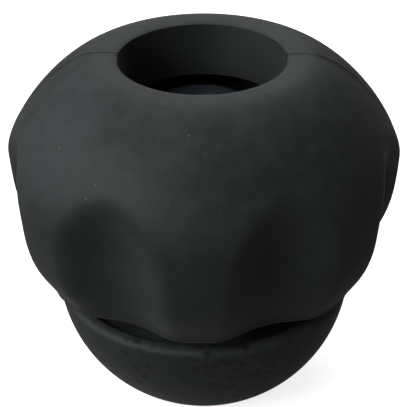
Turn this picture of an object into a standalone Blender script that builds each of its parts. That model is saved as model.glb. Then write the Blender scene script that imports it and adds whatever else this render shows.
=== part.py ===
"""Case opening friction ball for watchmakers, as separate named parts.

A hollow, seven-lobed rubber grip is moulded as two half shells that meet on a plane just behind the
axis. Its open mouth faces up and presses on the screwed back of a watch. A glossy plastic hub fills the
grip's cavity, and its six-sided stem carries the turning force down to the round rubber ball that sits
in the palm.

Frame: metres, +Z up along the tool's axis, with the origin at the centre of the flat foot. The seam
between the two grip halves runs left to right, so one half faces -Y and the other +Y. One lobe faces -Y.
"""

from math import asin, atan2, cos, degrees, pi, radians, sin, sqrt

import bmesh
import bpy
from mathutils import Matrix, Vector
from mathutils.geometry import interpolate_bezier

MM = 0.001
GAP = 0.3 * MM              # clearance between pieces that touch on the real tool

# Palm ball: the round lower part that the palm holds
PALM_RADIUS = 27.9 * MM
FOOT_RADIUS = 12.9 * MM     # flat under the ball
RIM_DROP = 2.5 * MM         # rim plane below the ball's centre
RIM_ROUND = 1.4 * MM        # rounding of the ball's upper edge
RIM_LAND = 0.6 * MM         # flat width of the rim
RECESS_DEPTH = 1.6 * MM     # groove inside the rim
RECESS_WIDTH = 5.0 * MM
NECK_RISE = 3.9 * MM        # underside of the grip above the rim plane

# Grip: the lobed upper part, in two halves
GRIP_RADIUS = 36.8 * MM     # at its widest, over the lobes
GRIP_BASE_RADIUS = 30.9 * MM
SKIRT_HEIGHT = 20.3 * MM    # underside to the widest level
CROWN_HEIGHT = 21.2 * MM    # widest level to the top
MOUTH_RADIUS = 15.4 * MM
MOUTH_DEPTH = 9.6 * MM      # lip to the lower edge of the bore
BORE_TAPER = 1.5 * MM       # loss of radius down the bore
LIP_WIDTH = 3.1 * MM        # flat ring round the mouth
LIP_DROP = 0.3 * MM         # inner edge of the lip below the top of the crown
GRIP_WALL = 12.8 * MM       # at the widest level
GRIP_FLOOR = 9.3 * MM
EDGE_ROUND = 0.9 * MM       # rounding of the grip's lower edge
ROOF_ROUND = 6.0 * MM       # upper corner of the cavity
FLOOR_ROUND = 4.0 * MM      # lower corner of the cavity
SEAM_SETBACK = 1.5 * MM     # seam plane behind the axis
CROWN_TOP_RADIUS = MOUTH_RADIUS + LIP_WIDTH

# Handles of the two curves that draw the grip's side
BASE_HANDLE_OUT = 1.7 * MM
BASE_HANDLE_UP = 3.8 * MM
SKIRT_HANDLE = 13.3 * MM
SHOULDER_HANDLE = 8.6 * MM
CROWN_HANDLE = 7.3 * MM

# Flutes: arch-topped scoops for the fingers, midway between the lobes
FLUTE_COUNT = 7
FLUTE_DEPTH = 5.6 * MM
FLUTE_BASE_DEPTH = 3.1 * MM     # at the underside, where the flutes are shallowest
FLUTE_FILL = 20.0 * MM          # height over which they reach their full depth
FLUTE_HALF_WIDTH = radians(15.5)
ARCH_SPRING = 6.0 * MM          # start of the arched top, below the widest level
ARCH_RISE = 7.2 * MM            # tip of the arch above the widest level
RIDGE_BLEND = 2.4 * MM          # softness of the edges between flutes and lobes

# Hub
HEAD_CLEARANCE = 4.0 * MM   # free ring between the hub's head and the cavity wall
DOME_DEPTH = 7.4 * MM       # top of the dome below the lip
DOME_RISE = 14.0 * MM       # height of the domed part of the head
STEM_CORNER_RADIUS = 9.0 * MM
ANCHOR_RADIUS = 14.0 * MM   # disc at the lower end, held inside the palm ball
ANCHOR_THICKNESS = 5.0 * MM
ANCHOR_COVER = 8.0 * MM     # rubber above the disc
HUB_BEVEL = 0.8 * MM

# Facets
GRIP_SEGMENTS = 126
PALM_SEGMENTS = 72
HUB_SEGMENTS = 60

# Heights that follow from the sizes above
PALM_CENTRE_Z = sqrt(PALM_RADIUS ** 2 - FOOT_RADIUS ** 2)
RIM_Z = PALM_CENTRE_Z - RIM_DROP
GRIP_BASE_Z = RIM_Z + NECK_RISE
GRIP_HEIGHT = SKIRT_HEIGHT + CROWN_HEIGHT
LIP_HEIGHT = GRIP_HEIGHT - LIP_DROP
ROOF_HEIGHT = LIP_HEIGHT - MOUTH_DEPTH
CAVITY_RADIUS = GRIP_RADIUS - GRIP_WALL
HEAD_RADIUS = CAVITY_RADIUS - HEAD_CLEARANCE
HEAD_HEIGHT = LIP_HEIGHT - DOME_DEPTH - GRIP_FLOOR - GAP
STEM_LENGTH = GRIP_FLOOR + ANCHOR_COVER + 3.0 * GAP

RUBBER_BLACK = (0.032, 0.033, 0.034, 1.0)
PLASTIC_BLACK = (0.012, 0.015, 0.019, 1.0)


def clear_scene():
    """Remove every object, so that the model starts from an empty scene."""
    for scene_object in list(bpy.data.objects):
        bpy.data.objects.remove(scene_object, do_unlink=True)


def make_material(name, colour, roughness):
    """Return a Principled material of one colour and roughness."""
    material = bpy.data.materials.new(name)
    material.use_nodes = True
    shader = material.node_tree.nodes["Principled BSDF"]
    shader.inputs["Base Color"].default_value = colour
    shader.inputs["Roughness"].default_value = roughness
    shader.inputs["Metallic"].default_value = 0.0
    material.diffuse_color = colour
    return material


def add_object(name, shape, material=None, parent=None, height=0.0):
    """Turn a bmesh into a named object at a height on the tool's axis."""
    mesh = bpy.data.meshes.new(name)
    bmesh.ops.recalc_face_normals(shape, faces=shape.faces)
    shape.to_mesh(mesh)
    shape.free()
    made = bpy.data.objects.new(name, mesh)
    bpy.context.collection.objects.link(made)
    made.location = (0.0, 0.0, height)
    made.parent = parent
    if material is not None:
        mesh.materials.append(material)
        mesh.shade_smooth()
        mesh.set_sharp_from_angle(angle=radians(32))
    return made


def add_cutter(name, shape, parent=None, height=0.0):
    """Add a hidden wire object that other objects are cut with."""
    cutter = add_object(name, shape, parent=parent, height=height)
    cutter.hide_render = True
    cutter.display_type = "WIRE"
    return cutter


def cut(target, tool, operation="DIFFERENCE"):
    """Add an exact Boolean to target."""
    modifier = target.modifiers.new(tool.name, "BOOLEAN")
    modifier.operation = operation
    modifier.solver = "EXACT"
    modifier.object = tool


def arc(centre_radius, centre_height, radius, start, end, steps):
    """Points along an arc in the radius-height plane; angles in degrees from the +radius direction."""
    angles = [radians(start + (end - start) * step / steps) for step in range(steps + 1)]
    return [(centre_radius + radius * cos(angle), centre_height + radius * sin(angle)) for angle in angles]


def curve(start, start_handle, end_handle, end, steps):
    """Points along a cubic curve in the radius-height plane, without its first point."""
    corners = [Vector((radius, height, 0.0)) for radius, height in (start, start_handle, end_handle, end)]
    points = interpolate_bezier(*corners, steps + 1)
    return [(point.x, point.y) for point in points[1:]]


def turned(outline, segments):
    """Spin a (radius, height) outline that starts and ends on the axis into a closed solid."""
    shape = bmesh.new()
    corners = [shape.verts.new((radius, 0.0, height)) for radius, height in outline]
    edges = [shape.edges.new(pair) for pair in zip(corners, corners[1:])]
    bmesh.ops.spin(
        shape, geom=corners + edges, cent=(0.0, 0.0, 0.0), axis=(0.0, 0.0, 1.0),
        angle=2.0 * pi, steps=segments, use_merge=True,
    )
    bmesh.ops.remove_doubles(shape, verts=shape.verts, dist=0.001 * MM)
    return shape


def prism(radius, low, high, sides, turn=0.0):
    """A straight prism or cylinder about Z, from one height to another."""
    shape = bmesh.new()
    place = Matrix.Translation((0.0, 0.0, (low + high) / 2.0)) @ Matrix.Rotation(turn, 4, "Z")
    bmesh.ops.create_cone(
        shape, cap_ends=True, segments=sides, radius1=radius, radius2=radius, depth=high - low, matrix=place,
    )
    return shape


def grip_outline():
    """Outline of the whole grip from its underside, round the outside and back down the cavity."""
    side = curve(
        (GRIP_BASE_RADIUS, EDGE_ROUND),
        (GRIP_BASE_RADIUS + BASE_HANDLE_OUT, EDGE_ROUND + BASE_HANDLE_UP),
        (GRIP_RADIUS, SKIRT_HEIGHT - SKIRT_HANDLE),
        (GRIP_RADIUS, SKIRT_HEIGHT), 16,
    )
    crown = curve(
        (GRIP_RADIUS, SKIRT_HEIGHT),
        (GRIP_RADIUS, SKIRT_HEIGHT + SHOULDER_HANDLE),
        (CROWN_TOP_RADIUS + CROWN_HANDLE, GRIP_HEIGHT),
        (CROWN_TOP_RADIUS, GRIP_HEIGHT), 19,
    )
    underside = [(0.0, 0.0), (GRIP_BASE_RADIUS / 2.0, 0.0)]
    edge = arc(GRIP_BASE_RADIUS - EDGE_ROUND, EDGE_ROUND, EDGE_ROUND, -90, 0, 3)
    lip = [(MOUTH_RADIUS + LIP_DROP, GRIP_HEIGHT - LIP_DROP / 4.0), (MOUTH_RADIUS, LIP_HEIGHT)]
    bore = [(MOUTH_RADIUS - BORE_TAPER, ROOF_HEIGHT)]
    roof = arc(CAVITY_RADIUS - ROOF_ROUND, ROOF_HEIGHT - ROOF_ROUND, ROOF_ROUND, 90, 0, 5)
    floor = arc(CAVITY_RADIUS - FLOOR_ROUND, GRIP_FLOOR + FLOOR_ROUND, FLOOR_ROUND, 0, -90, 4)
    centre = [(CAVITY_RADIUS / 2.0, GRIP_FLOOR), (0.0, GRIP_FLOOR)]
    return underside + edge + side + crown + lip + bore + roof + floor + centre


def palm_outline():
    """Outline of the palm ball from the foot's centre, round the outside to the top of its neck."""
    shoulder_reach = PALM_RADIUS - RIM_ROUND
    shoulder_drop = RIM_DROP + RIM_ROUND
    rim_radius = sqrt(shoulder_reach ** 2 - shoulder_drop ** 2)
    shoulder_angle = -degrees(asin(shoulder_drop / shoulder_reach))
    foot_angle = -degrees(atan2(PALM_CENTRE_Z, FOOT_RADIUS))
    recess_radius = rim_radius - RIM_LAND
    neck_radius = recess_radius - RECESS_WIDTH
    foot = [(0.0, 0.0), (FOOT_RADIUS / 2.0, 0.0)]
    ball = arc(0.0, PALM_CENTRE_Z, PALM_RADIUS, foot_angle, shoulder_angle, 18)
    shoulder = arc(rim_radius, RIM_Z - RIM_ROUND, RIM_ROUND, shoulder_angle, 90, 7)[1:]
    recess = [
        (recess_radius, RIM_Z),
        (recess_radius - RECESS_DEPTH / 4.0, RIM_Z - RECESS_DEPTH),
        (neck_radius, RIM_Z - RECESS_DEPTH),
    ]
    neck = [(neck_radius, GRIP_BASE_Z - GAP), (neck_radius / 2.0, GRIP_BASE_Z - GAP), (0.0, GRIP_BASE_Z - GAP)]
    return foot + ball + shoulder + recess + neck


def hub_head_outline():
    """Outline of the hub's domed head, which stands on the cavity floor."""
    dome_radius = (HEAD_RADIUS ** 2 + DOME_RISE ** 2) / (2.0 * DOME_RISE)
    dome_centre = HEAD_HEIGHT - dome_radius
    edge_angle = degrees(atan2(HEAD_HEIGHT - DOME_RISE - dome_centre, HEAD_RADIUS))
    drum = [(0.0, 0.0), (HEAD_RADIUS - HUB_BEVEL, 0.0), (HEAD_RADIUS, HUB_BEVEL)]
    dome = arc(0.0, dome_centre, dome_radius, edge_angle, 90, 14)[:-1]
    return drum + dome + [(0.0, HEAD_HEIGHT)]


def flute_depth(angle, height):
    """Depth of the flutes at an angle from the front and a height above the grip's underside."""
    pitch = 2.0 * pi / FLUTE_COUNT
    offset = (angle / pitch) % 1.0 - 0.5
    across = offset * pitch / FLUTE_HALF_WIDTH
    filled = sin(min(height / FLUTE_FILL, 1.0) * pi / 2.0)
    deepest = FLUTE_BASE_DEPTH + (FLUTE_DEPTH - FLUTE_BASE_DEPTH) * filled
    spring = SKIRT_HEIGHT - ARCH_SPRING
    along = max(height - spring, 0.0) / (ARCH_RISE + ARCH_SPRING)
    depth = deepest * (1.0 - across ** 2 - along ** 2)
    share = min(max(0.5 + 0.5 * depth / RIDGE_BLEND, 0.0), 1.0)
    return depth * share + RIDGE_BLEND * share * (1.0 - share)


def scoop_flutes(shape):
    """Press the flutes into the outside of the turned grip."""
    for corner in shape.verts:
        radius = sqrt(corner.co.x ** 2 + corner.co.y ** 2)
        if radius > CAVITY_RADIUS + GAP:
            angle = atan2(corner.co.x, -corner.co.y)
            left = (radius - flute_depth(angle, corner.co.z)) / radius
            corner.co.x *= left
            corner.co.y *= left


def add_half_space(name, side, parent):
    """A block that keeps one side of the seam: side is -1 for the front half and +1 for the rear."""
    reach = 2.0 * (GRIP_RADIUS + GRIP_HEIGHT)
    middle = SEAM_SETBACK + side * (reach + GAP) / 2.0
    shape = bmesh.new()
    place = Matrix.Translation((0.0, middle, GRIP_HEIGHT / 2.0)) @ Matrix.Scale(reach, 4)
    bmesh.ops.create_cube(shape, size=1.0, matrix=place)
    return add_cutter(name, shape, parent, GRIP_BASE_Z)


def add_grip_half(name, side, stem_cutter, material, parent):
    """One moulded half of the grip."""
    shape = turned(grip_outline(), GRIP_SEGMENTS)
    scoop_flutes(shape)
    half = add_object(name, shape, material, parent, GRIP_BASE_Z)
    cut(half, stem_cutter)
    cut(half, add_half_space(f"{name}_side", side, parent), "INTERSECT")
    return half


def add_palm_ball(material, parent):
    """The palm ball, with the pocket that its rubber closes round the hub's disc."""
    pocket_roof = GRIP_BASE_Z - GAP - ANCHOR_COVER
    pocket_floor = pocket_roof - ANCHOR_THICKNESS - 2.0 * GAP
    ball = add_object("palm_ball", turned(palm_outline(), PALM_SEGMENTS), material, parent)
    pocket = prism(ANCHOR_RADIUS + GAP, pocket_floor, pocket_roof, HUB_SEGMENTS)
    cut(ball, add_cutter("pocket_cutter", pocket, parent))
    stem_way = prism(STEM_CORNER_RADIUS + GAP, pocket_roof - GAP, GRIP_BASE_Z + GRIP_FLOOR, 6)
    cut(ball, add_cutter("palm_stem_cutter", stem_way, parent))
    return ball


def add_hub(material, parent):
    """The hub: domed head, six-sided stem and anchor disc, joined into one piece."""
    base = GRIP_BASE_Z + GRIP_FLOOR + GAP
    hub = add_object("core_hub", turned(hub_head_outline(), HUB_SEGMENTS), material, parent, base)
    stem = prism(STEM_CORNER_RADIUS, -STEM_LENGTH - GAP, HUB_BEVEL, 6)
    cut(hub, add_cutter("stem_shape", stem, parent, base), "UNION")
    disc = turned([
        (0.0, -STEM_LENGTH - ANCHOR_THICKNESS),
        (ANCHOR_RADIUS - HUB_BEVEL, -STEM_LENGTH - ANCHOR_THICKNESS),
        (ANCHOR_RADIUS, -STEM_LENGTH - ANCHOR_THICKNESS + HUB_BEVEL),
        (ANCHOR_RADIUS, -STEM_LENGTH - HUB_BEVEL),
        (ANCHOR_RADIUS - HUB_BEVEL, -STEM_LENGTH),
        (0.0, -STEM_LENGTH),
    ], HUB_SEGMENTS)
    cut(hub, add_cutter("anchor_shape", disc, parent, base), "UNION")
    return hub


def main():
    """Build the tool."""
    clear_scene()
    tool = bpy.data.objects.new("friction_ball", None)
    bpy.context.collection.objects.link(tool)

    grip_rubber = make_material("grip_rubber", RUBBER_BLACK, 0.72)
    palm_rubber = make_material("palm_rubber", RUBBER_BLACK, 0.8)
    hub_plastic = make_material("hub_plastic", PLASTIC_BLACK, 0.15)

    stem_way = prism(STEM_CORNER_RADIUS + GAP, -GRIP_FLOOR, 2.0 * GRIP_FLOOR, 6)
    stem_cutter = add_cutter("grip_stem_cutter", stem_way, tool, GRIP_BASE_Z)
    add_grip_half("grip_half_front", -1, stem_cutter, grip_rubber, tool)
    add_grip_half("grip_half_rear", 1, stem_cutter, grip_rubber, tool)
    add_palm_ball(palm_rubber, tool)
    add_hub(hub_plastic, tool)


main()
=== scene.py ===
"""Looks of a case opening friction ball: moulded black rubber over a glossy plastic hub.

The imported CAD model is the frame. Each CAD node is replaced by a finely turned piece of the same size
and place, and every piece gets a procedural finish. Lengths are metres, +Z is up along the tool's axis.
"""
import logging
import math
from dataclasses import dataclass, field
from enum import Enum
from typing import Sequence

import bmesh
import bpy
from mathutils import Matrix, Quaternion, Vector
from mathutils.geometry import interpolate_bezier


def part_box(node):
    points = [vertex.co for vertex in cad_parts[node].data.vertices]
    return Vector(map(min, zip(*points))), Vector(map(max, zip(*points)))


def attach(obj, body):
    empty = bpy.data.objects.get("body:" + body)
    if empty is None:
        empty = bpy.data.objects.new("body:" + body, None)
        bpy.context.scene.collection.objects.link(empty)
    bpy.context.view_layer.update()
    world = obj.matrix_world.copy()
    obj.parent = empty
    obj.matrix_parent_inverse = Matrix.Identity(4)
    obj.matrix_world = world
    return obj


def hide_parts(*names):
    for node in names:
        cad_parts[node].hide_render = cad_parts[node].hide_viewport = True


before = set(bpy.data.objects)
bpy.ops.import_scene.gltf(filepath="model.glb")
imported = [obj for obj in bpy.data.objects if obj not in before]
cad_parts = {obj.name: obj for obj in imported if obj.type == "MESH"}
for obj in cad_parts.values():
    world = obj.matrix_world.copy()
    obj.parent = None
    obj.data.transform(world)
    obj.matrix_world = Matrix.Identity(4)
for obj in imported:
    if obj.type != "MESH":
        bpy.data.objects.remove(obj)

LOG = logging.getLogger("friction_ball")
MM = 0.001
BODY = "root"
MERGE = 0.0005 * MM
Outline = list[tuple[float, float]]
Colour = tuple[float, float, float]


# ---------------------------------------------------------------- outlines


def arc(centre: tuple[float, float], radius: float, start: float, end: float, steps: int) -> Outline:
    """Points along an arc in the radius-height plane.

    Args:
        centre: Radius and height of the arc's centre.
        radius: Radius of the arc.
        start: First angle in degrees from the outward direction.
        end: Last angle in degrees.
        steps: Number of straight steps.

    Returns:
        The points, both ends included.
    """
    angles = [math.radians(start + (end - start) * step / steps) for step in range(steps + 1)]
    return [(centre[0] + radius * math.cos(angle), centre[1] + radius * math.sin(angle)) for angle in angles]


def curve(corners: Sequence[tuple[float, float]], steps: int) -> Outline:
    """Points along a cubic curve in the radius-height plane, without its first point.

    Args:
        corners: The start, its handle, the end's handle and the end.
        steps: Number of straight steps.

    Returns:
        The points after the start.
    """
    points = interpolate_bezier(*[Vector((radius, height, 0.0)) for radius, height in corners], steps + 1)
    return [(point.x, point.y) for point in points[1:]]


def line(start: tuple[float, float], end: tuple[float, float], steps: int) -> Outline:
    """Evenly spaced points on a straight line, without its first point.

    Args:
        start: First radius and height.
        end: Last radius and height.
        steps: Number of steps.

    Returns:
        The points after the start.
    """
    run = end[0] - start[0]
    rise = end[1] - start[1]
    shares = [step / steps for step in range(1, steps + 1)]
    return [(start[0] + run * share, start[1] + rise * share) for share in shares]


def soft_positive(value: float, blend: float) -> float:
    """The value where it is above zero, and zero below, with the corner rounded over a blend length."""
    share = min(max(0.5 + 0.5 * value / blend, 0.0), 1.0)
    return value * share + blend * share * (1.0 - share)


def finish_mesh(shape: bmesh.types.BMesh, name: str) -> bpy.types.Object:
    """Turn a bmesh into a smooth object that stands at the origin.

    Args:
        shape: The closed mesh, which is freed.
        name: Name of the piece.

    Returns:
        The linked object.
    """
    bmesh.ops.remove_doubles(shape, verts=shape.verts, dist=MERGE)
    bmesh.ops.recalc_face_normals(shape, faces=shape.faces)
    mesh = bpy.data.meshes.new(name)
    shape.to_mesh(mesh)
    shape.free()
    mesh.shade_smooth()
    mesh.set_sharp_from_angle(angle=math.radians(50))
    piece = bpy.data.objects.new(name, mesh)
    bpy.context.scene.collection.objects.link(piece)
    return piece


def spin_outline(outline: Outline, steps: int, closed: bool = False) -> bmesh.types.BMesh:
    """Spin an outline all the way round the tool's axis.

    Args:
        outline: Radius and height of each point.
        steps: Number of steps in the full turn.
        closed: Whether the outline's last point joins its first.

    Returns:
        The spun shape.
    """
    shape = bmesh.new()
    corners = [shape.verts.new((radius, 0.0, height)) for radius, height in outline]
    edges = [shape.edges.new(pair) for pair in zip(corners, corners[1:])]
    if closed:
        edges.append(shape.edges.new((corners[-1], corners[0])))
    bmesh.ops.spin(
        shape, geom=corners + edges, cent=(0.0, 0.0, 0.0), axis=(0.0, 0.0, 1.0),
        angle=2.0 * math.pi, steps=steps, use_merge=True,
    )
    bmesh.ops.remove_doubles(shape, verts=shape.verts, dist=MERGE)
    return shape


# ---------------------------------------------------------------- finishes


class Value:
    """A shader socket that Python's operators can be used on."""

    def __init__(self, sheet: "NodeSheet", socket: bpy.types.NodeSocket) -> None:
        """Wrap a socket of a sheet's node tree."""
        self.sheet = sheet
        self.socket = socket

    def _math(self, operation: str, *others: "Value | float") -> "Value":
        """Add a Math node whose first input is this value."""
        inputs = {index: value for index, value in enumerate((self, *others))}
        return self.sheet.add("ShaderNodeMath", {"operation": operation}, inputs)

    def __add__(self, other: "Value | float") -> "Value":
        """Sum."""
        return self._math("ADD", other)

    __radd__ = __add__

    def __mul__(self, other: "Value | float") -> "Value":
        """Product."""
        return self._math("MULTIPLY", other)

    __rmul__ = __mul__

    def __sub__(self, other: "Value | float") -> "Value":
        """Difference."""
        return self._math("SUBTRACT", other)

    def __rsub__(self, other: float) -> "Value":
        """Difference with this value last."""
        return self * -1.0 + other

    def between(self, low: float, high: float) -> "Value":
        """A smooth 0 to 1 rise as this value goes from low to high."""
        inputs = {"Value": self, "From Min": low, "From Max": high}
        return self.sheet.add("ShaderNodeMapRange", {"interpolation_type": "SMOOTHSTEP"}, inputs)


class NodeSheet:
    """A material's node tree, which nodes are added to by type, settings and inputs."""

    def __init__(self, name: str) -> None:
        """Start a material with its Principled shader."""
        self.material = bpy.data.materials.new(name)
        self.material.use_nodes = True
        self.tree = self.material.node_tree
        self.shader = self.tree.nodes["Principled BSDF"]

    def add(
        self, kind: str, settings: dict[str, object], inputs: dict[object, object], output: object = 0,
    ) -> Value:
        """Add one node.

        Args:
            kind: Blender's type name of the node.
            settings: Attributes that are set before any socket.
            inputs: Values or links by socket name or number.
            output: Name or number of the socket to return.

        Returns:
            The chosen output.
        """
        node = self.tree.nodes.new(kind)
        for key, setting in settings.items():
            setattr(node, key, setting)
        for key, value in inputs.items():
            self.set(node.inputs[key], value)
        return Value(self, node.outputs[output])

    def set(self, socket: bpy.types.NodeSocket, value: object) -> None:
        """Link a Value to a socket, or write a plain value on it."""
        if isinstance(value, Value):
            self.tree.links.new(value.socket, socket)
        else:
            socket.default_value = value

    def place(self) -> Value:
        """Object coordinates."""
        return self.add("ShaderNodeTexCoord", {}, {}, "Object")

    def noise(self, scale: float, detail: float, roughness: float = 0.5) -> Value:
        """Noise of a scale in cycles per metre."""
        inputs = {"Vector": self.place(), "Scale": scale, "Detail": detail, "Roughness": roughness}
        return self.add("ShaderNodeTexNoise", {}, inputs)

    def cells(self, scale: float) -> Value:
        """Distance to the nearest of scattered points, in cell sizes."""
        return self.add("ShaderNodeTexVoronoi", {}, {"Vector": self.place(), "Scale": scale})

    def mix(self, factor: Value | float, first: object, second: object) -> Value:
        """Mix two colours."""
        inputs = {"Factor": factor, 6: first, 7: second}
        return self.add("ShaderNodeMix", {"data_type": "RGBA"}, inputs, 2)

    def axis_distance(self) -> Value:
        """Distance from the tool's axis, in metres."""
        level = {0: self.place(), 1: (1.0, 1.0, 0.0)}
        flat = self.add("ShaderNodeVectorMath", {"operation": "MULTIPLY"}, level)
        return self.add("ShaderNodeVectorMath", {"operation": "LENGTH"}, {0: flat}, "Value")

    def facing_up(self) -> Value:
        """The normal's upward part, from -1 to 1."""
        normal = self.add("ShaderNodeNewGeometry", {}, {}, "Normal")
        return self.add("ShaderNodeSeparateXYZ", {}, {0: normal}, "Z")

    def bump(self, depth: Value, distance: float, under: Value | None = None) -> Value:
        """Raise the surface by a depth value times a distance in metres.

        Args:
            depth: How far the surface rises, as a share of the distance.
            distance: The rise in metres where the depth is 1.
            under: A coarser bump that this one lies on.

        Returns:
            The bumped normal.
        """
        inputs = {"Height": depth, "Distance": distance}
        if under is not None:
            inputs["Normal"] = under
        return self.add("ShaderNodeBump", {}, inputs)

    def use(self, **inputs: object) -> bpy.types.Material:
        """Set the Principled shader's sockets, with _ for a space, and return the material."""
        for key, value in inputs.items():
            self.set(self.shader.inputs[key.replace("_", " ")], value)
        return self.material


def rgba(colour: Colour) -> tuple[float, float, float, float]:
    """A colour with full alpha."""
    return (*colour, 1.0)


@dataclass(frozen=True)
class MouldedRubber:
    """Matte black rubber, straight from the mould, with a little chalky bloom, handling marks, painted top
    light and painted bore shade.
    """

    name: str
    fresh: Colour = (0.0165, 0.0178, 0.0184)
    # the lighter colour: chalky bloom, also used as painted top light on upward faces
    bloom: Colour = (0.038, 0.041, 0.042)
    smudge_colour: Colour = (0.0035, 0.0037, 0.0038)
    # painted shade for the inside of the bore
    bore_shade_colour: Colour = (0.011, 0.0118, 0.012)
    speck_colour: Colour = (0.16, 0.16, 0.155)
    roughness: float = 0.6
    specular: float = 0.24
    sheen: float = 0.06
    sheen_roughness: float = 0.45
    cloud_scale: float = 45.0
    mottle_scale: float = 330.0
    grain_scale: float = 2200.0
    grain_depth: float = 0.06 * MM
    speck_scale: float = 420.0
    smudge: float = 0.0
    smudge_scale: float = 520.0
    smudge_patch_scale: float = 60.0
    smudge_depth: float = 0.05 * MM
    # radius inside which the rubber gets painted bore shade; zero leaves it off
    bore: float = 0.0

    def make(self) -> bpy.types.Material:
        """Build the rubber's material.

        Returns:
            The material.
        """
        sheet = NodeSheet(self.name)
        cloud = sheet.noise(self.cloud_scale, 4.0, 0.55)
        mottle = sheet.noise(self.mottle_scale, 5.0, 0.65)
        grain = sheet.noise(self.grain_scale, 3.0, 0.7)
        colour = self.add_bloom_and_top_light(sheet, cloud, mottle)
        colour = self.add_specks(sheet, colour)
        bump = sheet.bump(grain * 0.6 + mottle * 0.8, self.grain_depth)
        if self.smudge > 0.0:
            colour, bump = self.add_smudges(sheet, colour, bump)
        # painted shade inside the bore
        if self.bore > 0.0:
            colour = self.add_bore_shade(sheet, colour, cloud)
        return sheet.use(
            Base_Color=colour, Roughness=mottle * 0.16 + cloud * 0.1 + (self.roughness - 0.13), Normal=bump,
            Specular_IOR_Level=self.specular, Sheen_Weight=self.sheen, Sheen_Roughness=self.sheen_roughness,
        )

    def add_bloom_and_top_light(self, sheet: NodeSheet, cloud: Value, mottle: Value) -> Value:
        """Chalky bloom in clouds, with painted top light: the lighter colour is strongest where the rubber
        faces up.
        """
        # painted top light: rubber that faces up gets more of the lighter bloom colour
        painted_top_light = sheet.facing_up().between(-0.3, 1.0)
        patches = cloud.between(0.3, 0.7) * 0.55 + mottle.between(0.35, 0.65) * 0.4
        return sheet.mix(patches * (painted_top_light * 0.75 + 0.25), rgba(self.fresh), rgba(self.bloom))

    def add_specks(self, sheet: NodeSheet, colour: Value) -> Value:
        """A few pale specks of dust."""
        speck = 1.0 - sheet.cells(self.speck_scale).between(0.05, 0.14)
        rare = sheet.noise(130.0, 1.0).between(0.66, 0.7)
        return sheet.mix(speck * rare * 0.6, colour, rgba(self.speck_colour))

    def add_smudges(self, sheet: NodeSheet, colour: Value, bump: Value) -> tuple[Value, Value]:
        """Shallow dark marks, scattered in patches.

        Args:
            sheet: The material's nodes.
            colour: The colour without them.
            bump: The normal without them.

        Returns:
            The colour and the normal with them.
        """
        blot = 1.0 - sheet.cells(self.smudge_scale).between(0.1, 0.62)
        patch = sheet.noise(self.smudge_patch_scale, 2.0).between(0.4, 0.62)
        marked = sheet.mix(blot * patch * self.smudge, colour, rgba(self.smudge_colour))
        return marked, sheet.bump(blot * patch * -1.0, self.smudge_depth, bump)

    def add_bore_shade(self, sheet: NodeSheet, colour: Value, cloud: Value) -> Value:
        """Painted shade: darker rubber inside the bore, clouded with the fresh colour."""
        # painted shade: everything nearer the axis than the bore radius turns darker
        inside = 1.0 - sheet.axis_distance().between(self.bore - 0.1 * MM, self.bore + 0.25 * MM)
        painted_bore_shade = sheet.mix(cloud, rgba(self.bore_shade_colour), rgba(self.fresh))
        return sheet.mix(inside, colour, painted_bore_shade)


@dataclass(frozen=True)
class PolishedPlastic:
    """Black moulded plastic with a high gloss and faint wiping marks."""

    name: str
    colour: Colour = (0.008, 0.011, 0.015)
    haze_colour: Colour = (0.014, 0.019, 0.026)
    roughness: float = 0.12
    haze_scale: float = 160.0
    ripple_scale: float = 500.0
    ripple_depth: float = 0.01 * MM

    def make(self) -> bpy.types.Material:
        """Build the plastic's material.

        Returns:
            The material.
        """
        sheet = NodeSheet(self.name)
        haze = sheet.noise(self.haze_scale, 4.0, 0.6)
        rough = haze.between(0.4, 0.75) * 0.14 + self.roughness
        colour = sheet.mix(haze, rgba(self.colour), rgba(self.haze_colour))
        bump = sheet.bump(sheet.noise(self.ripple_scale, 2.0), self.ripple_depth)
        return sheet.use(Base_Color=colour, Roughness=rough, Normal=bump, IOR=1.5, Coat_Weight=0.0)


# ---------------------------------------------------------------- grip


class Side(Enum):
    """The two halves of the grip, by the side of the seam that they lie on."""

    FRONT = -1
    REAR = 1


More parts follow.
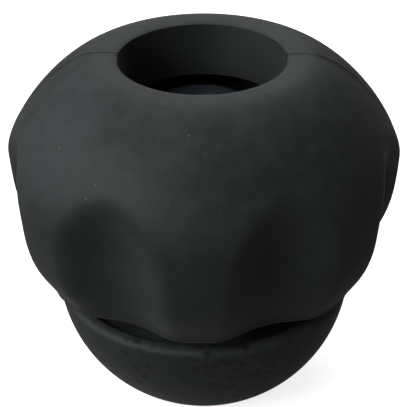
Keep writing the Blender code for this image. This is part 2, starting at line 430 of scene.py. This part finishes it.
@dataclass
class Grip:
    """The lobed rubber grip, in two halves that meet at the seam."""

    base: float
    radius: float = 36.8 * MM
    base_radius: float = 30.9 * MM
    skirt: float = 20.3 * MM
    crown: float = 21.2 * MM
    mouth_radius: float = 15.4 * MM
    mouth_depth: float = 9.6 * MM
    bore_taper: float = 1.5 * MM
    lip_width: float = 3.1 * MM
    lip_drop: float = 0.3 * MM
    wall: float = 12.8 * MM
    floor: float = 9.3 * MM
    edge_round: float = 0.9 * MM
    roof_round: float = 6.0 * MM
    floor_round: float = 4.0 * MM
    stem_hole: float = 9.4 * MM
    seam_setback: float = 1.5 * MM
    seam_gap: float = 0.3 * MM
    gap: float = 0.3 * MM
    base_handle: tuple[float, float] = (1.7 * MM, 3.8 * MM)
    skirt_handle: float = 13.3 * MM
    shoulder_handle: float = 8.6 * MM
    crown_handle: float = 7.3 * MM
    flute_count: int = 7
    flute_depth: float = 5.6 * MM
    flute_base_depth: float = 3.1 * MM
    flute_fill: float = 20.0 * MM
    flute_half_width: float = math.radians(15.5)
    arch_spring: float = 6.0 * MM
    arch_rise: float = 7.2 * MM
    ridge_blend: float = 2.4 * MM
    flash_height: float = 0.3 * MM
    flash_width: float = 0.5 * MM
    spin_steps: int = 420
    # the rubber's bore value is the radius inside which painted shade darkens the bore
    rubber: MouldedRubber = field(default_factory=lambda: MouldedRubber("grip_rubber", bore=15.4 * MM))

    def outer(self) -> Outline:
        """Outer side from the lower edge to the lip, as radius and height above the underside."""
        top = self.skirt + self.crown
        rim = self.mouth_radius + self.lip_width
        handle_out, handle_up = self.base_handle
        edge = arc((self.base_radius - self.edge_round, self.edge_round), self.edge_round, -90, 0, 8)
        side = curve((
            (self.base_radius, self.edge_round),
            (self.base_radius + handle_out, self.edge_round + handle_up),
            (self.radius, self.skirt - self.skirt_handle),
            (self.radius, self.skirt),
        ), 46)
        crown = curve((
            (self.radius, self.skirt),
            (self.radius, self.skirt + self.shoulder_handle),
            (rim + self.crown_handle, top),
            (rim, top),
        ), 56)
        lip = [
            (rim - self.lip_width * share, top - self.lip_drop * share ** 4)
            for share in (step / 10 for step in range(1, 11))
        ]
        return edge + side + crown + lip

    def outline(self) -> Outline:
        """Closed outline of the grip's wall, starting on the underside."""
        outer = self.outer()
        lip_height = self.skirt + self.crown - self.lip_drop
        roof = lip_height - self.mouth_depth
        cavity = self.radius - self.wall
        underside = [(self.stem_hole, 0.0)] + line((self.stem_hole, 0.0), outer[0], 14)[:-1]
        bore = line((self.mouth_radius, lip_height), (self.mouth_radius - self.bore_taper, roof), 14)
        ceiling = arc((cavity - self.roof_round, roof - self.roof_round), self.roof_round, 90, 0, 10)
        bottom = arc((cavity - self.floor_round, self.floor + self.floor_round), self.floor_round, 0, -90, 8)
        return underside + outer + bore + ceiling + bottom + [(self.stem_hole, self.floor)]

    def scoop(self, angle: float, height: float) -> float:
        """Depth of the flutes.

        Args:
            angle: Angle about the axis from the front.
            height: Height above the underside.

        Returns:
            How far the surface lies inside the turned shape.
        """
        pitch = 2.0 * math.pi / self.flute_count
        across = ((angle / pitch) % 1.0 - 0.5) * pitch / self.flute_half_width
        filled = math.sin(min(height / self.flute_fill, 1.0) * math.pi / 2.0)
        deepest = self.flute_base_depth + (self.flute_depth - self.flute_base_depth) * filled
        along = max(height - self.skirt + self.arch_spring, 0.0) / (self.arch_rise + self.arch_spring)
        return soft_positive(deepest * (1.0 - across ** 2 - along ** 2), self.ridge_blend)

    def carve(self, shape: bmesh.types.BMesh) -> None:
        """Scoop the flutes and raise the mould flash along the seam.

        Args:
            shape: The spun grip, with heights above the underside.
        """
        cavity = self.radius - self.wall + self.gap
        top = self.skirt + self.crown
        lip_height = top - self.lip_drop
        for corner in shape.verts:
            radius = math.hypot(corner.co.x, corner.co.y)
            height = corner.co.z
            angle = math.atan2(corner.co.x, -corner.co.y)
            carved = radius
            if radius > cavity and height > 0.0:
                carved -= self.scoop(angle, height)
            elif radius > cavity:
                share = (radius - cavity) / (self.base_radius - self.edge_round - cavity)
                carved -= self.scoop(angle, height) * min(share, 1.0)
            corner.co.x *= carved / radius
            corner.co.y *= carved / radius
            at_seam = math.exp(-((corner.co.y - self.seam_setback) / self.flash_width) ** 2)
            if radius > self.mouth_radius - self.gap and height > lip_height / 2.0:
                raised = height + self.flash_height * at_seam * min(height / lip_height, 1.0)
                corner.co.z = max(height, min(raised, top))

    def build_half(
        self, whole: bmesh.types.BMesh, name: str, side: Side, rubber: bpy.types.Material,
    ) -> bpy.types.Object:
        """Cut one half from the whole grip and cap it.

        Args:
            whole: The carved grip, which is left as it is.
            name: Name of the piece.
            side: The half.
            rubber: Its material.

        Returns:
            The finished piece.
        """
        shape = whole.copy()
        plane = (0.0, self.seam_setback + side.value * self.seam_gap / 2.0, 0.0)
        away = (0.0, -side.value, 0.0)
        bmesh.ops.bisect_plane(
            shape, geom=shape.verts[:] + shape.edges[:] + shape.faces[:], dist=MERGE / 10.0,
            plane_co=plane, plane_no=away, clear_outer=True,
        )
        ends = [edge for edge in shape.edges if edge.is_boundary]
        for sign in (-1.0, 1.0):
            loop = [edge for edge in ends if sign * edge.verts[0].co.x > 0.0]
            bmesh.ops.contextual_create(shape, geom=loop)
        bmesh.ops.translate(shape, verts=shape.verts, vec=(0.0, 0.0, self.base))
        piece = finish_mesh(shape, name)
        piece.data.materials.append(rubber)
        return piece

    def build(self) -> list[tuple[bpy.types.Object, str, str]]:
        """Build both halves.

        Returns:
            Each piece with the CAD node that it replaces and its material slot.
        """
        rubber = self.rubber.make()
        whole = spin_outline(self.outline(), self.spin_steps, closed=True)
        self.carve(whole)
        front = self.build_half(whole, "grip_front_skin", Side.FRONT, rubber)
        rear = self.build_half(whole, "grip_rear_skin", Side.REAR, rubber)
        whole.free()
        return [(front, "grip_half_front", "grip_rubber"), (rear, "grip_half_rear", "grip_rubber")]


# ---------------------------------------------------------------- palm ball


@dataclass
class PalmBall:
    """The round rubber ball under the grip, with its rounded rim, groove and neck."""

    top: float
    radius: float = 27.9 * MM
    foot_radius: float = 12.9 * MM
    rim_drop: float = 2.5 * MM
    rim_round: float = 1.4 * MM
    rim_land: float = 0.6 * MM
    recess_depth: float = 1.6 * MM
    recess_width: float = 5.0 * MM
    stem_hole: float = 9.4 * MM
    pocket: float = 14.3 * MM
    pocket_height: float = 5.6 * MM
    cover: float = 8.0 * MM
    rubber: MouldedRubber = field(default_factory=lambda: MouldedRubber("palm_rubber", smudge=0.85))

    def outline(self) -> Outline:
        """Outline from the centre of the foot round to the pocket's floor."""
        centre = math.sqrt(self.radius ** 2 - self.foot_radius ** 2)
        rim = centre - self.rim_drop
        reach = self.radius - self.rim_round
        drop = self.rim_drop + self.rim_round
        rim_radius = math.sqrt(reach ** 2 - drop ** 2)
        shoulder_angle = -math.degrees(math.asin(drop / reach))
        foot_angle = -math.degrees(math.atan2(centre, self.foot_radius))
        groove = rim_radius - self.rim_land
        neck = groove - self.recess_width
        roof = self.top - self.cover
        foot = [(0.0, 0.0)] + line((0.0, 0.0), (self.foot_radius, 0.0), 12)[:-1]
        ball = arc((0.0, centre), self.radius, foot_angle, shoulder_angle, 60)
        shoulder = arc((rim_radius, rim - self.rim_round), self.rim_round, shoulder_angle, 90, 16)[1:]
        recess = [
            (groove, rim),
            (groove - self.recess_depth / 8.0, rim - self.recess_depth / 4.0),
            (groove - self.recess_depth / 4.0, rim - self.recess_depth),
            (neck, rim - self.recess_depth),
        ]
        inside = [
            (neck, self.top), (self.stem_hole, self.top), (self.stem_hole, roof), (self.pocket, roof),
            (self.pocket, roof - self.pocket_height), (0.0, roof - self.pocket_height),
        ]
        return foot + ball + shoulder + recess + inside

    def build(self) -> list[tuple[bpy.types.Object, str, str]]:
        """Spin the ball.

        Returns:
            The piece with the CAD node that it replaces and its material slot.
        """
        shape = spin_outline(self.outline(), 240)
        piece = finish_mesh(shape, "palm_ball_skin")
        piece.data.materials.append(self.rubber.make())
        return [(piece, "palm_ball", "palm_rubber")]


# ---------------------------------------------------------------- hub


@dataclass
class CoreHub:
    """The glossy hub: domed head, stem and anchor disc."""

    seat: float
    foot: float
    top: float
    head_radius: float = 20.0 * MM
    dome_rise: float = 14.0 * MM
    stem_radius: float = 7.6 * MM
    anchor_radius: float = 14.0 * MM
    anchor_thickness: float = 5.0 * MM
    bevel: float = 0.8 * MM
    plastic: PolishedPlastic = field(default_factory=lambda: PolishedPlastic("hub_plastic"))

    def outline(self) -> Outline:
        """Outline from the centre of the anchor disc's underside to the top of the dome."""
        dome = (self.head_radius ** 2 + self.dome_rise ** 2) / (2.0 * self.dome_rise)
        centre = self.top - dome
        edge_angle = math.degrees(math.atan2(self.top - self.dome_rise - centre, self.head_radius))
        disc_top = self.foot + self.anchor_thickness
        disc = [
            (0.0, self.foot), (self.anchor_radius - self.bevel, self.foot),
            (self.anchor_radius, self.foot + self.bevel), (self.anchor_radius, disc_top - self.bevel),
            (self.anchor_radius - self.bevel, disc_top), (self.stem_radius, disc_top),
        ]
        head = [
            (self.stem_radius, self.seat), (self.head_radius - self.bevel, self.seat),
            (self.head_radius, self.seat + self.bevel),
        ]
        return disc + head + arc((0.0, centre), dome, edge_angle, 90, 40)

    def build(self) -> list[tuple[bpy.types.Object, str, str]]:
        """Spin the hub.

        Returns:
            The piece with the CAD node that it replaces and its material slot.
        """
        piece = finish_mesh(spin_outline(self.outline(), 144), "core_hub_skin")
        piece.data.materials.append(self.plastic.make())
        return [(piece, "core_hub", "hub_plastic")]


# ---------------------------------------------------------------- studio


@dataclass(frozen=True)
class SoftLamp:
    """A square light, placed by its direction from the tool in degrees."""

    name: str
    azimuth: float
    elevation: float
    power: float
    colour: Colour = (1.0, 1.0, 1.0)
    size: float = 0.45
    distance: float = 0.9


@dataclass
class Studio:
    """Pale floor, soft lights and the camera."""

    lamps: tuple[SoftLamp, ...] = (
        SoftLamp("front_left", -45.0, 30.0, 5.3, (0.97, 1.0, 1.0)),
        SoftLamp("left", -90.0, 20.0, 2.95, (0.94, 1.0, 1.0)),
        SoftLamp("rear_left", -130.0, 55.0, 0.95, (0.94, 1.0, 1.0)),
        SoftLamp("rear_low", 180.0, 30.0, 0.7, (0.97, 1.0, 1.0)),
        SoftLamp("rear_high", 180.0, 60.0, 1.6, (0.97, 1.0, 1.0)),
    )
    sky: float = 0.15
    floor_glow: float = 0.8
    azimuth: float = 2.2
    elevation: float = 29.4
    roll: float = -0.5
    distance: float = 0.306
    look_height: float = 37.3 * MM
    look_side: float = -0.62 * MM
    view_width: float = 75.64 * MM

    def add_floor(self) -> None:
        """A wide pale floor."""
        shape = bmesh.new()
        bmesh.ops.create_grid(shape, x_segments=1, y_segments=1, size=3.0)
        floor = finish_mesh(shape, "studio_floor")
        sheet = NodeSheet("studio_paper")
        tint = sheet.mix(sheet.noise(3.0, 2.0), rgba((0.93, 0.93, 0.93)), rgba((0.95, 0.95, 0.95)))
        floor.data.materials.append(sheet.use(
            Base_Color=tint, Roughness=0.9, Specular_IOR_Level=0.1,
            Emission_Color=rgba((1.0, 1.0, 1.0)), Emission_Strength=self.floor_glow,
        ))
        floor.visible_glossy = False
        floor.visible_diffuse = False

    def add_lamp(self, lamp: SoftLamp) -> None:
        """Add a square soft light that faces the tool."""
        turn = math.radians(lamp.azimuth)
        tilt = math.radians(lamp.elevation)
        aim = Vector((0.0, 0.0, self.look_height))
        away = Vector((math.sin(turn) * math.cos(tilt), -math.cos(turn) * math.cos(tilt), math.sin(tilt)))
        light = bpy.data.lights.new(lamp.name, "AREA")
        light.shape = "SQUARE"
        light.size = lamp.size
        light.energy = lamp.power
        light.color = lamp.colour
        holder = bpy.data.objects.new(lamp.name, light)
        bpy.context.scene.collection.objects.link(holder)
        holder.location = aim + away * lamp.distance
        holder.rotation_euler = (-away).to_track_quat("-Z", "Y").to_euler()

    def add_lights(self) -> None:
        """The soft lights and a dim sky."""
        for lamp in self.lamps:
            self.add_lamp(lamp)
        world = bpy.data.worlds.new("studio_sky")
        world.use_nodes = True
        background = world.node_tree.nodes["Background"]
        background.inputs["Color"].default_value = rgba((1.0, 1.0, 1.0))
        background.inputs["Strength"].default_value = self.sky
        bpy.context.scene.world = world
        bpy.context.scene.view_settings.view_transform = "Standard"

    def add_camera(self) -> None:
        """The camera, looking down at the mouth from the front."""
        lens = bpy.data.cameras.new("camera")
        lens.sensor_fit = "HORIZONTAL"
        lens.sensor_width = 36.0
        lens.lens = self.distance * lens.sensor_width / self.view_width
        lens.clip_start = 0.01
        holder = bpy.data.objects.new("camera", lens)
        bpy.context.scene.collection.objects.link(holder)
        turn = math.radians(self.azimuth)
        tilt = math.radians(self.elevation)
        across = Vector((math.cos(turn), math.sin(turn), 0.0))
        away = Vector((math.sin(turn) * math.cos(tilt), -math.cos(turn) * math.cos(tilt), math.sin(tilt)))
        target = across * self.look_side + Vector((0.0, 0.0, self.look_height))
        holder.location = target + away * self.distance
        level = (-away).to_track_quat("-Z", "Y")
        holder.rotation_euler = (level @ Quaternion((0.0, 0.0, 1.0), math.radians(self.roll))).to_euler()
        bpy.context.scene.camera = holder


def corners(bounds: Sequence[Sequence[float]]) -> list[list[float]]:
    """A box as plain lists."""
    return [list(map(float, corner)) for corner in bounds]


def main() -> None:
    """Build each piece, dress it and set the studio."""
    logging.basicConfig(level=logging.INFO, format="%(message)s")
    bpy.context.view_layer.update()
    grip_low, grip_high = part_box("grip_half_front")
    palm_low, palm_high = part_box("palm_ball")
    hub_low, hub_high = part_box("core_hub")
    grip = Grip(base=grip_low.z)
    assemblies = [
        grip,
        PalmBall(top=palm_high.z),
        CoreHub(seat=grip_low.z + grip.floor + grip.gap, foot=hub_low.z, top=hub_high.z),
    ]
    for assembly in assemblies:
        for piece, node, slot in assembly.build():
            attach(piece, BODY)
            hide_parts(node)
            LOG.info("%s: %d faces, stands for %s", piece.name, len(piece.data.polygons), node)
    studio = Studio()
    studio.add_floor()
    studio.add_lights()
    studio.add_camera()


if __name__ == "__main__":
    main()
